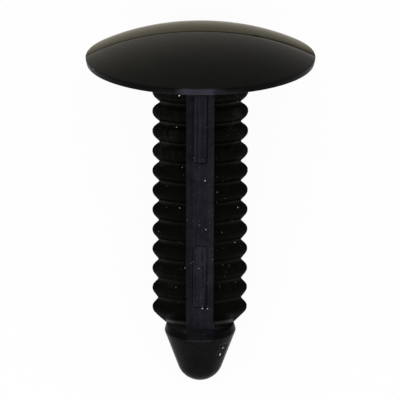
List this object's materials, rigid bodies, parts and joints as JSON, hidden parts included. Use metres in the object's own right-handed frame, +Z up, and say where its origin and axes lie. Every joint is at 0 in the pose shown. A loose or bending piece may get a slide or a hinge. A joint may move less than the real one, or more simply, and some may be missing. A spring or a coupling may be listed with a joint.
{
  "type": "plastic push rivet",
  "caption": "One-piece plastic push rivet with a domed head, a ribbed shank with a flat bar down each face, and a round-nosed tip.",
  "frame": {"origin": "middle of the footprint of the lying rivet's box, on the ground", "axes": "+Z up; the rivet lies on the rim of its head and the rim of its tip, with the head towards +Y, the tip towards -Y and one face of the bar upwards; X is across the ribs"},
  "size_m": [0.0202, 0.0322, 0.0195],
  "materials": {
    "black_nylon": "black moulded nylon, satin, with dust specks and faint mould marks"
  },
  "bodies": {
    "root": {"rivet_body": "black_nylon"}
  },
  "joints": []
}
